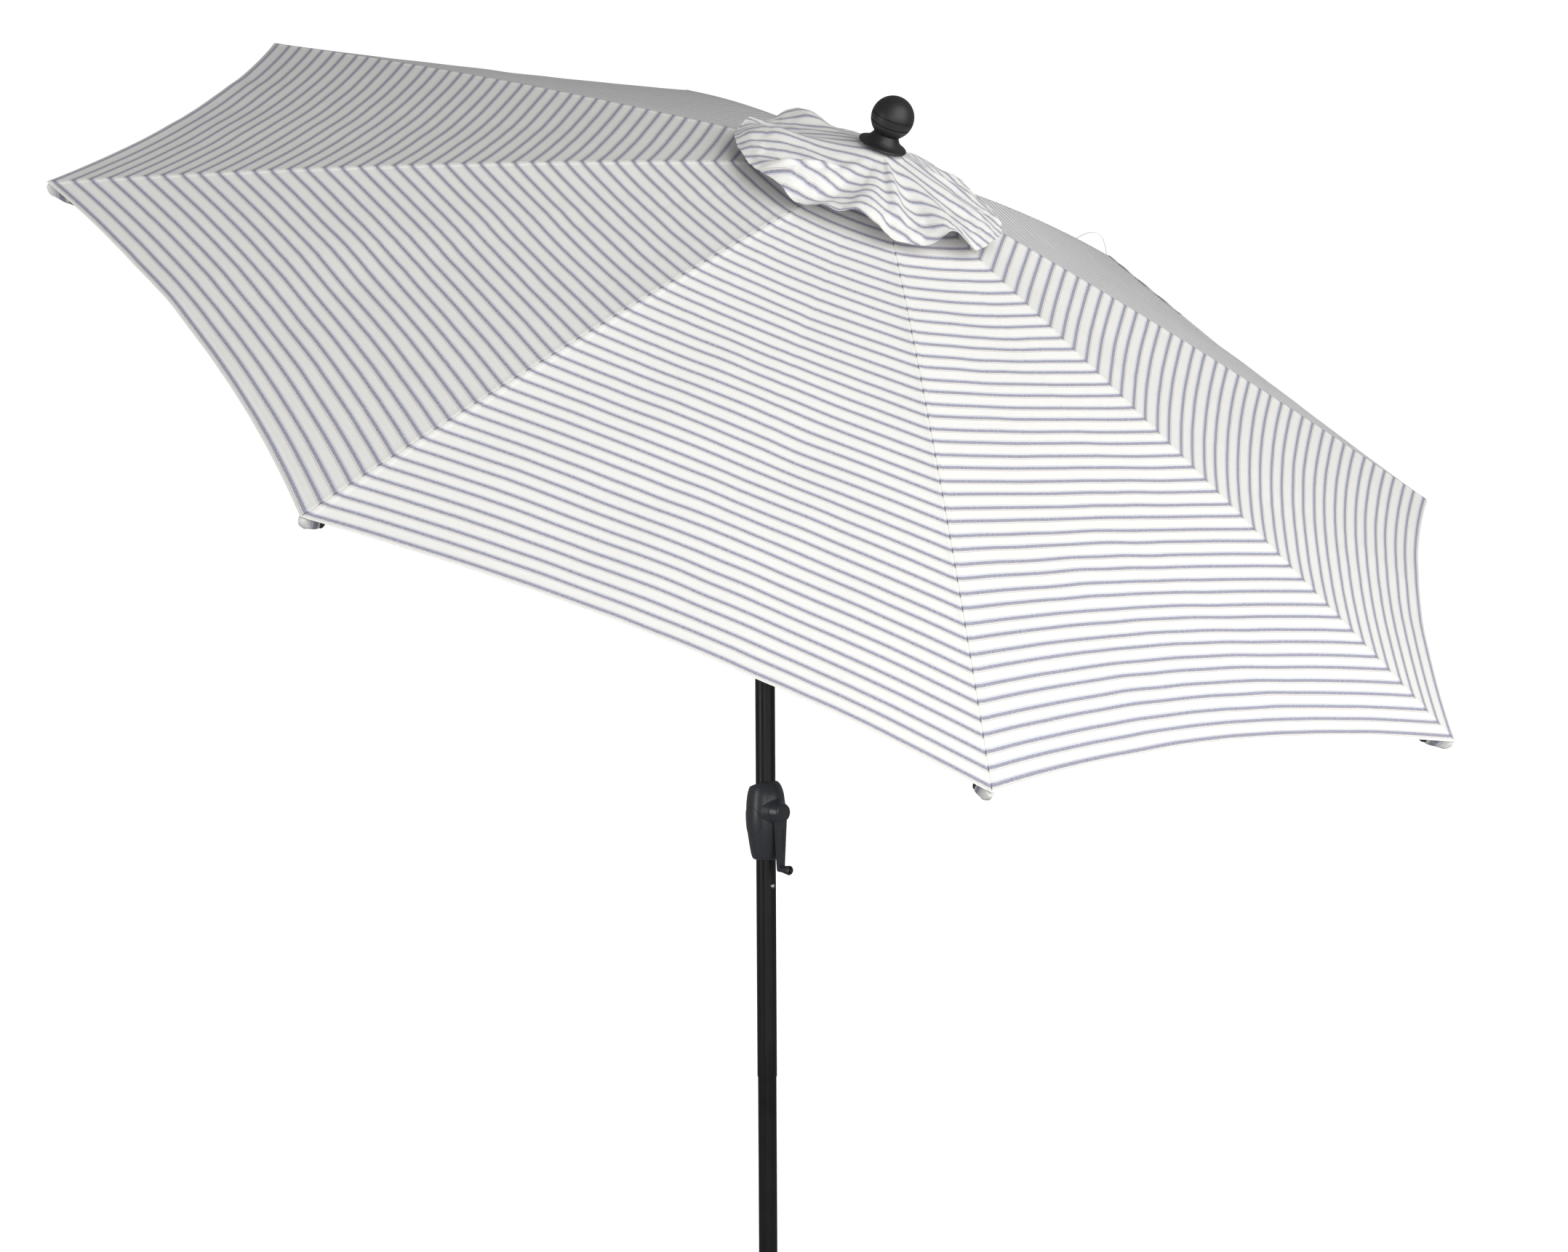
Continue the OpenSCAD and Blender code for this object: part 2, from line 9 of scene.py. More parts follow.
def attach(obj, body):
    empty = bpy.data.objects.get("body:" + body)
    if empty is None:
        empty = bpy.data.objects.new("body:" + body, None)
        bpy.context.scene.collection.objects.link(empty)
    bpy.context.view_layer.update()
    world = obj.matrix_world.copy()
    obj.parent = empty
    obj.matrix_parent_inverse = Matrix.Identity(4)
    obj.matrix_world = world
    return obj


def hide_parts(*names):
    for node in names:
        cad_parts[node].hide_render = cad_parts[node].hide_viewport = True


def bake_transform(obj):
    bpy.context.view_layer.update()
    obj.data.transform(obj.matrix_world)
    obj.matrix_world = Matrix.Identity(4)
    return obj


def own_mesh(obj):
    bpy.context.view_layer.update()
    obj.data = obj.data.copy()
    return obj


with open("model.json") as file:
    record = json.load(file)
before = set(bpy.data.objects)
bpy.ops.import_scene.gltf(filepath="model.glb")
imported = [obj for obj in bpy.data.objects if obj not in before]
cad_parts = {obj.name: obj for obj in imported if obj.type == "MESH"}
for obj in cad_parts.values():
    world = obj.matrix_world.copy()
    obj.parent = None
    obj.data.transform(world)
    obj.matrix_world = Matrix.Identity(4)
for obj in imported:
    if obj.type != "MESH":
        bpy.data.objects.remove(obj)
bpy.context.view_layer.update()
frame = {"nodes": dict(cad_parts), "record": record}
nodes = frame["nodes"]

# ---------------------------------------------------------------- sizes, as in part.scad (mm)
CANOPY_R, VENT_R = 1371.0, 150.0
SLOPE, TILT = math.radians(16.1), math.radians(31.9)
HUB_R, HUB_Z = 36.0, 603.0
OFF, HEM_IN, BOW = 13.0, 44.0, 16.0
PIVOT_H = 1700.0
C22, S22 = math.cos(math.radians(22.5)), math.sin(math.radians(22.5))
CHORD = (CANOPY_R - HUB_R) / math.cos(SLOPE)
ARC_R = (CHORD * CHORD / 4 + BOW * BOW) / (2 * BOW)
RIB_LEN = (CANOPY_R - 6 - HUB_R) / math.cos(SLOPE) - 3.5
RUN_TOP = 351.049 + 16


def az_of(i):
    return 22.5 + 45 * (i - 1)


def rise(x):
    return np.sqrt(ARC_R**2 - (x - CHORD / 2) ** 2) - (ARC_R - BOW)


def lean(x):
    return math.asin((x - CHORD / 2) / ARC_R)


def to_world(p):
    """Points of the canopy's own frame, in mm, to the row frame, in metres."""
    p = np.asarray(p, float).reshape(-1, 3)
    c, s = math.cos(TILT), math.sin(TILT)
    out = np.empty_like(p)
    out[:, 0] = p[:, 0] * c + p[:, 2] * s
    out[:, 1] = p[:, 1]
    out[:, 2] = -p[:, 0] * s + p[:, 2] * c + PIVOT_H
    return out / 1000.0


def turn(p, deg):
    """Turns points round the canopy's axis."""
    p = np.asarray(p, float).reshape(-1, 3)
    a = math.radians(deg)
    c, s = math.cos(a), math.sin(a)
    out = p.copy()
    out[:, 0] = p[:, 0] * c - p[:, 1] * s
    out[:, 1] = p[:, 0] * s + p[:, 1] * c
    return out


# ---------------------------------------------------------------- smooth noise, the same each run
_rng = np.random.default_rng(7)
_waves = []
for octave, (wavelength, amount) in enumerate(((620, 1.0), (330, 0.6), (170, 0.34), (90, 0.16))):
    for k in range(7):
        a = _rng.uniform(0, math.pi * 2)
        w = 2 * math.pi / (wavelength * _rng.uniform(0.75, 1.3))
        _waves.append((w * math.cos(a), w * math.sin(a), _rng.uniform(0, math.pi * 2), amount / 7**0.5))


def ripple(x, y):
    out = np.zeros_like(x, dtype=float)
    for a, b, ph, m in _waves:
        out += m * np.sin(a * x + b * y + ph)
    return out


def smooth(a, b, x):
    t = np.clip((x - a) / (b - a), 0, 1)
    return t * t * (3 - 2 * t)


# ---------------------------------------------------------------- meshes
def grid_mesh(name, pts, rows, cols, uv=None, side_offset=None, close_u=False):
    """A sheet through rows x cols points (metres). uv is per point; side_offset(col) shifts V per face."""
    idx = np.arange(rows * cols).reshape(rows, cols)
    a, b, c, d = idx[:-1, :-1], idx[:-1, 1:], idx[1:, 1:], idx[1:, :-1]
    faces = np.stack([a, b, c, d], -1).reshape(-1, 4)
    fcol = np.broadcast_to(np.arange(cols - 1), (rows - 1, cols - 1)).reshape(-1)
    me = bpy.data.meshes.new(name)
    me.from_pydata([tuple(p) for p in pts], [], [tuple(int(k) for k in f) for f in faces])
    me.polygons.foreach_set("use_smooth", [True] * len(me.polygons))
    if uv is not None:
        layer = me.uv_layers.new(name="Cut")
        flat = np.asarray(uv, float)[faces.reshape(-1)]
        if side_offset is not None:
            flat[:, 1] += np.repeat(np.array([side_offset(c) for c in fcol]), 4)
        layer.data.foreach_set("uv", flat.reshape(-1).astype(np.float32))
    me.update()
    ob = bpy.data.objects.new(name, me)
    bpy.context.scene.collection.objects.link(ob)
    return ob


def apply_modifiers(ob):
    bpy.context.view_layer.update()
    dg = bpy.context.evaluated_depsgraph_get()
    me = bpy.data.meshes.new_from_object(ob.evaluated_get(dg), preserve_all_data_layers=True, depsgraph=dg)
    old = ob.data
    ob.modifiers.clear()
    ob.data = me
    bpy.data.meshes.remove(old)


def crisp(ob, degrees=50.0):
    """Keeps the cut edges of a thickened sheet crisp, so that two sheets that meet don't show a line."""
    import bmesh

    bm = bmesh.new()
    bm.from_mesh(ob.data)
    for e in bm.edges:
        e.smooth = not (len(e.link_faces) == 2 and e.calc_face_angle(0.0) > math.radians(degrees))
    bm.to_mesh(ob.data)
    bm.free()


def thicken(ob, mm, offset=-1.0):
    m = ob.modifiers.new("thick", "SOLIDIFY")
    m.thickness, m.offset = mm / 1000.0, offset
    m.use_even_offset = True
    m.use_rim = True
    apply_modifiers(ob)
    crisp(ob)


def area_of(ob):
    return sum(p.area for p in ob.data.polygons)


def loft(name, rings, closed=True, caps=(True, True)):
    """A skin through rings of equal length (metres)."""
    n = len(rings[0])
    pts = [p for r in rings for p in r]
    faces = []
    for i in range(len(rings) - 1):
        for j in range(n if closed else n - 1):
            k = (j + 1) % n
            faces.append((i * n + j, i * n + k, (i + 1) * n + k, (i + 1) * n + j))
    if caps[0]:
        faces.append(tuple(reversed(range(n))))
    if caps[1]:
        faces.append(tuple(range((len(rings) - 1) * n, len(rings) * n)))
    me = bpy.data.meshes.new(name)
    me.from_pydata([tuple(p) for p in pts], [], faces)
    me.polygons.foreach_set("use_smooth", [True] * len(me.polygons))
    me.update()
    ob = bpy.data.objects.new(name, me)
    bpy.context.scene.collection.objects.link(ob)
    return ob


# ---------------------------------------------------------------- node helpers
class Net:
    def __init__(self, name):
        self.mat = bpy.data.materials.new(name)
        self.mat.use_nodes = True
        self.t = self.mat.node_tree
        self.t.nodes.clear()
        self.out = self.t.nodes.new("ShaderNodeOutputMaterial")
        self.bsdf = self.t.nodes.new("ShaderNodeBsdfPrincipled")
        self.t.links.new(self.bsdf.outputs[0], self.out.inputs[0])

    def node(self, kind, **props):
        n = self.t.nodes.new(kind)
        for k, v in props.items():
            setattr(n, k, v)
        return n

    def link(self, a, b):
        self.t.links.new(a, b)

    def put(self, socket, v):
        if isinstance(v, (int, float, tuple, list)):
            socket.default_value = v
        else:
            self.link(v, socket)

    def math(self, op, a, b=None, c=None, clamp=False):
        n = self.node("ShaderNodeMath", operation=op, use_clamp=clamp)
        for k, v in enumerate((a, b, c)):
            if v is not None:
                self.put(n.inputs[k], v)
        return n.outputs[0]

    def mix(self, fac, a, b, blend="MIX"):
        n = self.node("ShaderNodeMix", data_type="RGBA", blend_type=blend)
        self.put(n.inputs[0], fac)
        self.put(n.inputs[6], a)
        self.put(n.inputs[7], b)
        return n.outputs[2]

    def noise(self, scale, detail=4.0, rough=0.5, vec=None, dim="3D"):
        n = self.node("ShaderNodeTexNoise", noise_dimensions=dim)
        n.inputs["Scale"].default_value = scale
        n.inputs["Detail"].default_value = detail
        n.inputs["Roughness"].default_value = rough
        if vec is not None:
            self.link(vec, n.inputs["Vector"])
        return n.outputs["Fac"]

    def ramp(self, fac, stops, interp="LINEAR"):
        n = self.node("ShaderNodeValToRGB")
        n.color_ramp.interpolation = interp
        e = n.color_ramp.elements
        while len(e) > 1:
            e.remove(e[-1])
        e[0].position, e[0].color = stops[0][0], (*stops[0][1], 1)
        for p, c in stops[1:]:
            x = e.new(p)
            x.color = (*c, 1)
        self.link(fac, n.inputs[0])
        return n.outputs[0]

    def range(self, v, a, b, c, d):
        n = self.node("ShaderNodeMapRange")
        self.link(v, n.inputs[0])
        for k, x in zip((1, 2, 3, 4), (a, b, c, d)):
            n.inputs[k].default_value = x
        return n.outputs[0]

    def bump(self, height, distance, strength=1.0, normal=None):
        n = self.node("ShaderNodeBump")
        n.inputs["Strength"].default_value = strength
        n.inputs["Distance"].default_value = distance
        self.link(height, n.inputs["Height"])
        if normal is not None:
            self.link(normal, n.inputs["Normal"])
        return n.outputs[0]

    def set(self, **kw):
        for k, v in kw.items():
            self.put(self.bsdf.inputs[k.replace("_", " ")], v)
        return self.mat


def object_coords(n):
    return n.node("ShaderNodeTexCoord").outputs["Object"]


CLOTH_WHITE = (0.875, 0.868, 0.838, 1)


def cloth_material(name, seams=True):
    """Off-white plain weave with slate ticking stripes. U is across the panel and V down it, both in metres."""
    n = Net(name)
    uv = n.node("ShaderNodeUVMap", uv_map="Cut").outputs[0]
    sep = n.node("ShaderNodeSeparateXYZ")
    n.link(uv, sep.inputs[0])
    U, V = sep.outputs[0], sep.outputs[1]
    wob = n.math("MULTIPLY", n.math("SUBTRACT", n.noise(9.0, 2.0, 0.5, uv), 0.5), 0.0016)
    v = n.math("ADD", V, wob)
    mm = n.math("MULTIPLY", v, 1000.0)
    a = n.math("WRAP", mm, 28.35, -28.35)
    b = n.math("WRAP", n.math("SUBTRACT", mm, 29.6), 28.35, -28.35)
    pick = n.math("LESS_THAN", n.math("ABSOLUTE", a), n.math("ABSOLUTE", b))
    d = n.math("ADD", n.math("MULTIPLY", pick, a), n.math("MULTIPLY", n.math("SUBTRACT", 1.0, pick), b))
    # each thread of the stripe ends at a slightly different place
    thread = n.node("ShaderNodeMapping")
    thread.inputs["Scale"].default_value = (900.0, 260.0, 1.0)
    n.link(uv, thread.inputs[0])
    fray = n.noise(1.0, 2.0, 0.6, thread.outputs[0], "2D")
    d = n.math("ADD", d, n.math("MULTIPLY", n.math("SUBTRACT", fray, 0.5), 1.1))
    t = n.range(d, -9.0, 9.0, 0.0, 1.0)

    def at(x):
        return (x + 9.0) / 18.0

    white = (1.0, 1.0, 1.0)
    tint = n.ramp(
        t,
        [
            (0.0, white),
            (at(-6.6), white),
            (at(-6.1), (0.71, 0.68, 0.665)),
            (at(-5.3), (0.71, 0.68, 0.665)),
            (at(-4.9), (0.95, 0.94, 0.93)),
            (at(-4.0), (0.95, 0.94, 0.945)),
            (at(-2.75), (0.46, 0.45, 0.535)),
            (at(-1.0), (0.40, 0.392, 0.492)),
            (at(1.0), (0.39, 0.394, 0.508)),
            (at(2.7), (0.44, 0.45, 0.575)),
            (at(3.7), (0.80, 0.82, 0.925)),
            (at(4.9), (0.86, 0.88, 0.95)),
            (at(5.3), (0.72, 0.74, 0.82)),
            (at(6.0), (0.73, 0.75, 0.83)),
            (at(6.6), white),
            (1.0, white),
        ],
    )
    band = n.range(n.math("ABSOLUTE", d), 3.4, 3.0, 0.0, 1.0)
    fleck = n.node("ShaderNodeMapping")
    fleck.inputs["Scale"].default_value = (230.0, 620.0, 1.0)
    n.link(uv, fleck.inputs[0])
    speck = n.noise(1.0, 3.0, 0.65, fleck.outputs[0], "2D")
    speckle = n.range(speck, 0.3, 0.7, -0.3, 0.3)
    light = n.math("ADD", 1.0, n.math("MULTIPLY", speckle, band))
    scale = n.node("ShaderNodeCombineColor")
    for k in range(3):
        n.link(light, scale.inputs[k])
    tint = n.mix(1.0, tint, scale.outputs[0], "MULTIPLY")
    # slubs and soft soiling of the plain cloth
    slub = n.node("ShaderNodeMapping")
    slub.inputs["Scale"].default_value = (60.0, 700.0, 1.0)
    n.link(uv, slub.inputs[0])
    tone = n.math(
        "ADD",
        n.range(n.noise(1.0, 3.0, 0.6, slub.outputs[0], "2D"), 0.3, 0.7, 0.975, 1.01),
        n.range(n.noise(5.0, 3.0, 0.6, uv, "2D"), 0.3, 0.7, -0.012, 0.008),
    )
    grey = n.node("ShaderNodeCombineColor")
    for k in range(3):
        n.link(tone, grey.inputs[k])
    base = n.mix(1.0, CLOTH_WHITE, grey.outputs[0], "MULTIPLY")
    colour = n.mix(1.0, base, tint, "MULTIPLY")
    if seams:
        au = n.math("ABSOLUTE", U)
        # painted shade: a thin line along the seam is darkened in colour as if shaded in its groove, and where a stripe
        # crosses it the line is painted a deep dark slate as the groove's shadow
        seam_groove_shade = n.range(au, 0.0018, 0.0004, 0.0, 1.0)
        stripe_tick_shade = n.math("MULTIPLY", seam_groove_shade, n.range(n.math("ABSOLUTE", d), 6.2, 4.2, 0.0, 1.0))
        colour = n.mix(n.math("MULTIPLY", seam_groove_shade, 0.35), colour, (0.60, 0.58, 0.55, 1))
        colour = n.mix(n.math("MULTIPLY", stripe_tick_shade, 0.9), colour, (0.055, 0.058, 0.085, 1))
    # plain weave and stitches
    wu = n.math("SINE", n.math("MULTIPLY", U, 2 * math.pi / 0.0011))
    wv = n.math("SINE", n.math("MULTIPLY", V, 2 * math.pi / 0.0011))
    weave = n.math("MULTIPLY", wu, wv)
    h = n.math("ADD", n.math("MULTIPLY", weave, 0.35), n.noise(260.0, 3.0, 0.6, uv, "2D"))
    normal = n.bump(h, 0.00022, 0.55)
    if seams:
        stitch = n.math(
            "MULTIPLY",
            n.range(n.math("ABSOLUTE", n.math("SUBTRACT", au, 0.0062)), 0.0007, 0.0002, 0.0, 1.0),
            n.range(n.math("SINE", n.math("MULTIPLY", V, 2 * math.pi / 0.0042)), -0.3, 0.3, 0.0, 1.0),
        )
        pucker = n.math("MULTIPLY", n.range(au, 0.016, 0.002, 0.0, 1.0), n.math("SINE", n.math("MULTIPLY", V, 2 * math.pi / 0.0085)))
        hh = n.math("ADD", n.math("MULTIPLY", stitch, -0.7), n.math("MULTIPLY", pucker, 0.22))
        normal = n.bump(hh, 0.0009, 0.5, normal)
    n.set(Base_Color=colour, Roughness=0.88, Normal=normal)
    n.bsdf.inputs["Sheen Weight"].default_value = 0.12
    n.bsdf.inputs["Sheen Roughness"].default_value = 0.6
    n.bsdf.inputs["Specular IOR Level"].default_value = 0.25
    return n.mat


def black_material(name, colour, rough, grain, depth, spread=0.06, dust=0.02, spec=0.5):
    n = Net(name)
    co = object_coords(n)
    fine = n.noise(grain, 3.0, 0.6, co)
    broad = n.noise(14.0, 4.0, 0.6, co)
    lift = n.range(broad, 0.35, 0.75, 0.0, dust)
    scratch_map = n.node("ShaderNodeMapping")
    scratch_map.inputs["Scale"].default_value = (900.0, 900.0, 16.0)
    n.link(co, scratch_map.inputs[0])
    hair = n.range(n.noise(1.0, 2.0, 0.5, scratch_map.outputs[0]), 0.66, 0.74, 0.0, 0.35)
    fac = n.math("ADD", lift, n.math("MULTIPLY", hair, dust))
    col = n.mix(fac, (*colour, 1), (0.32, 0.31, 0.30, 1))
    rg = n.math("ADD", n.range(broad, 0.3, 0.7, rough - spread, rough + spread), n.math("MULTIPLY", hair, 0.12))
    n.set(Base_Color=col, Roughness=rg, Normal=n.bump(fine, depth, 0.5))
    n.bsdf.inputs["Specular IOR Level"].default_value = spec
    return n.mat


def zinc_material():
    n = Net("zinc_plate")
    co = object_coords(n)
    v = n.noise(220.0, 3.0, 0.6, co)
    col = n.mix(n.range(v, 0.3, 0.7, 0.0, 1.0), (0.56, 0.56, 0.57, 1), (0.70, 0.70, 0.69, 1))
    n.set(Base_Color=col, Metallic=1.0, Roughness=n.range(v, 0.3, 0.7, 0.24, 0.4), Normal=n.bump(v, 0.00004, 0.4))
    return n.mat


def cord_material():
    n = Net("braided_cord")
    co = object_coords(n)
    w = n.node("ShaderNodeTexWave", wave_type="BANDS", bands_direction="DIAGONAL")
    w.inputs["Scale"].default_value = 260.0
    w.inputs["Distortion"].default_value = 1.5
    n.link(co, w.inputs["Vector"])
    col = n.mix(w.outputs["Fac"], (0.60, 0.59, 0.55, 1), (0.80, 0.79, 0.75, 1))
    n.set(Base_Color=col, Roughness=0.85, Normal=n.bump(w.outputs["Fac"], 0.0003, 0.7))
    return n.mat


M_CLOTH = cloth_material("ticking_cloth")
M_CAP = cloth_material("ticking_cloth_cap", seams=False)
M_POLE = black_material("powder_coat", (0.0100, 0.0085, 0.0088), 0.36, 1500.0, 0.00006)
M_RIB = black_material("rib_coat", (0.016, 0.0145, 0.0145), 0.46, 1400.0, 0.00006)
M_PLASTIC = black_material("moulded_plastic_black", (0.040, 0.043, 0.049), 0.34, 2200.0, 0.00005)
M_FINIAL = black_material("finial_coat", (0.0125, 0.0120, 0.0122), 0.44, 1800.0, 0.00005)
M_ZINC = zinc_material()
M_CORD = cord_material()
# the tube is a little duller than the mouldings
next(x for x in M_POLE.node_tree.nodes if x.type == "BSDF_PRINCIPLED").inputs["Specular IOR Level"].default_value = 0.3
BY_SLOT = {
    "pole_tube": M_POLE,
    "rib_steel": M_RIB,
    "moulded_plastic": M_PLASTIC,
    "finial": M_FINIAL,
    "bright_steel": M_ZINC,
    "lift_cord": M_CORD,
    "canopy_cloth": M_CAP,
}
for part in frame["record"]["subparts"]:
    ob = nodes[part["node"]]
    m = BY_SLOT[part["material_slot"]]
    if not ob.material_slots:
        ob.data.materials.append(m)
    for sl in ob.material_slots:
        sl.material = m

# ---------------------------------------------------------------- camera
cam_data = bpy.data.cameras.new("camera")
cam = bpy.data.objects.new("camera", cam_data)
bpy.context.scene.collection.objects.link(cam)
right = Vector((0.618329, 0.785903, -0.005124)).normalized()
back = Vector((0.784769, -0.617058, 0.058120)).normalized()
up = back.cross(right).normalized()
right = up.cross(back).normalized()
rot = Matrix((right, up, back)).transposed()
cam.matrix_world = Matrix.Translation((3.77101, -2.91835, 1.66760)) @ rot.to_4x4()
cam_data.sensor_fit = "HORIZONTAL"
cam_data.sensor_width = 36.0
cam_data.lens = 3444.246 * 36.0 / 2156.0
cam_data.clip_start, cam_data.clip_end = 0.05, 200.0
bpy.context.scene.camera = cam

# ---------------------------------------------------------------- main cloth
N_ROW = 104
ROWS = np.concatenate(
    [
        [VENT_R, VENT_R + 1.2, VENT_R + 10.5, VENT_R + 12],
        np.linspace(VENT_R + 18, CANOPY_R - 22, N_ROW),
        [CANOPY_R - 15.0, CANOPY_R - 13.4, CANOPY_R - 7, CANOPY_R - 1.6, CANOPY_R - 0.4, CANOPY_R],
    ]
)
NEAR = np.array([0.0, 0.9, 2.0, 5.0, 8.2, 9.4, 13.0, 19.0])
FAR = 30


# fold lines left from packing: rib before, place across the panel from -1 to 1, height in mm
CREASES = [(6, -0.28, 0.55), (6, -0.08, -0.6), (6, 0.7, 0.5), (7, -0.68, 0.5), (7, 0.05, -0.6), (5, -0.2, 0.4), (8, 0.3, 0.45), (1, -0.35, 0.4), (3, 0.1, 0.4), (4, -0.4, 0.4)]


def cloth_point(az, s, r):
    """The cloth's outer face in the canopy's frame, mm: s runs from -1 to 1 across the gore on the rib at az."""
    q = np.abs(s)
    k = q * (2 - q)
    e = r / CANOPY_R
    din = HEM_IN * e**3
    dz = din * math.tan(SLOPE) / C22 - 3.6 * e - 7 * np.sin(math.pi * e)
    x = r + q * (r * C22 * C22 - r) - k * din * C22
    y = np.sign(s) * (q * r * C22 * S22 - k * din * S22)
    z = HUB_Z + (OFF + rise((r - HUB_R) / math.cos(SLOPE))) / math.cos(SLOPE) - (r - HUB_R) * math.tan(SLOPE) + k * dz
    p = turn(np.stack([x, y, z], -1), az)
    # the slack between the ribs ripples a little, and not at all along the seams
    for first, t, h in CREASES:
        for rib_az, q0, side in ((az_of(first), t + 1, 1), (az_of(first + 1), 1 - t, -1)):
            if abs((az - rib_az + 180) % 360 - 180) < 1 and q0 < 1.25:
                gap = (q * side * np.sign(s) - q0) * r * C22 * S22
                fade = smooth(180, 320, r) * (1 - smooth(1180, 1330, r))
                p[:, 2] += h * np.exp(-((gap / 5.0) ** 2)) * fade * (np.sign(s) == side)
    loose = np.clip(q * 1.6, 0, 1) ** 1.5 * np.clip((r - 120) / 300, 0.25, 1)
    p[:, 2] += loose * 1.5 * ripple(p[:, 0], p[:, 1])
    return p


PANEL_SHIFT = [0.0, 0.9, -0.6, 0.7, -0.8, 0.4, 1.2, -0.5]  # panel k lies between rib k+1 and rib k+2, mm
HEM_V = 1361.5

gore_area = 0.0
for i in range(1, 9):
    az = az_of(i)
    half_cols = len(NEAR) + FAR
    cols = 2 * half_cols - 1
    R, Q = [], []
    for r in ROWS:
        near = NEAR / (r * C22 * S22)
        far = near[-1] + (1 - near[-1]) * (np.arange(1, FAR + 1) / FAR)
        q = np.concatenate([near, far])
        Q.append(np.concatenate([-q[::-1], q[1:]]))
        R.append(np.full(cols, r))
    R, Q = np.array(R).reshape(-1), np.array(Q).reshape(-1)
    P = cloth_point(az, Q, R)
    D = np.abs(Q) * R * C22 * S22  # distance from the seam
    up_by = np.where(D < 0.5, -0.9, 0.0)
    up_by += 0.75 * smooth(0.4, 2.0, D) * (1 - smooth(8.2, 9.4, D)) * np.where(Q > 0, 1.0, 0.35)
    # the seam is gathered by its stitches: small waves along it
    up_by += 0.35 * np.sin(2 * math.pi * R / 28.35) * np.exp(-D / 16.0)
    # turned and stitched hem
    up_by += 0.7 * smooth(CANOPY_R - 15.0, CANOPY_R - 13.0, R) * (1 - smooth(CANOPY_R - 1.4, CANOPY_R, R) * 1.6)
    up_by += 0.6 * (1 - smooth(VENT_R + 10.5, VENT_R + 12, R))
    P[:, 2] += up_by
    uv = np.stack([np.sign(Q) * D / 1000.0, (HEM_V - R) / 1000.0], -1)
    left, right_ = PANEL_SHIFT[(i - 2) % 8] / 1000.0, PANEL_SHIFT[(i - 1) % 8] / 1000.0
    ob = grid_mesh(
        "gore_%d" % i, to_world(P), len(ROWS), cols, uv, side_offset=lambda c: left if c < half_cols - 1 else right_
    )
    gore_area = area_of(ob)
    thicken(ob, 0.9)
    ob.data.materials.append(M_CLOTH)
    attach(ob, "rib_%d" % i)
    anchor = to_world(turn([[HUB_R, 0, HUB_Z]], az))[0]
    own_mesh(ob)
    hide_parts("canopy_%d" % i)
print("gore area", round(gore_area, 4))

# ---------------------------------------------------------------- vent cap
# height of the loose cap's hem round the canopy: azimuth, mm
CAP_HEM = [
    (0, 617), (2, 617), (5, 612), (8, 607), (11, 597), (15, 589), (19, 588), (24, 592), (30, 597), (36, 596), (45, 589), (52, 591), (58, 596), (63, 590),
    (70, 586), (80, 584), (90, 586), (95, 590), (99, 597), (104, 589), (112, 585), (124, 590), (136, 583), (150, 583), (158, 581), (163, 584), (168, 592), (172, 601),
    (177, 612), (181, 615), (185, 613), (189, 607), (193, 593), (196, 589), (200, 592), (205, 598), (210, 600), (215, 597), (219, 590), (228, 588), (238, 590), (247, 590),
    (256, 587), (263, 585), (268, 586), (273, 593), (277, 597), (281, 598), (284, 597), (287, 594), (291, 589), (297, 589), (301, 596), (304, 601), (308, 600),
    (311, 598), (314, 609), (317, 611), (320, 611), (324, 610), (328, 605), (331, 596), (334, 588), (339, 587), (344, 590), (349, 594), (352, 597), (355, 604), (357.5, 616), (360, 617),
]
_grid = np.arange(0, 360, 0.5)
_hem = np.interp(_grid, [a for a, _ in CAP_HEM], [z for _, z in CAP_HEM])
_k = np.exp(-0.5 * (np.arange(-8, 9) * 0.5 / 1.3) ** 2)
_hem = np.convolve(np.concatenate([_hem[-8:], _hem, _hem[:8]]), _k / _k.sum(), "valid")


def cap_hem(phi):
    return np.interp(np.mod(phi, 360), np.append(_grid, 360.0), np.append(_hem, _hem[0]))


# folds of the cap's middle: azimuth at the hem, twist towards the finial, height, width (degrees), where along it is highest
FOLDS = [
    (337.5, 0, 11, 5.0, 0.55),
    (276, 30, 13, 9, 0.80),
    (262, 34, -9, 8, 0.72),
    (232, 18, 17, 16, 0.75),
    (208, 14, -9, 8, 0.80),
    (186, 2, 9, 10, 0.80),
    (300, 16, -6, 8, 0.70),
    (319, 8, 7, 8, 0.75),
    (352, 0, -5, 7, 0.60),
    (10, 0, 5, 7, 0.70),
    (28, 0, -4, 6, 0.75),
    (44, -2, 5, 8, 0.70),
    (67.5, 0, 6, 6, 0.60),
    (88, 0, -5, 8, 0.75),
    (112.5, 0, 5, 7, 0.60),
    (135, 0, -5, 9, 0.75),
    (157.5, 0, 5, 7, 0.60),
]
CAP_R0 = 29.0


def cap_reach(phi):
    out = 256.0 + 2.0 * np.sin(np.radians(5 * phi + 40)) + 1.2 * np.sin(np.radians(11 * phi))
    out -= 7.0 * np.exp(-((ang(phi, 238) / 13.0) ** 2))
    # a raised hem is drawn in towards the middle
    return out - 0.22 * np.clip(cap_hem(phi) - 590, 0, 60)


def ang(a, b):
    return (a - b + 180) % 360 - 180


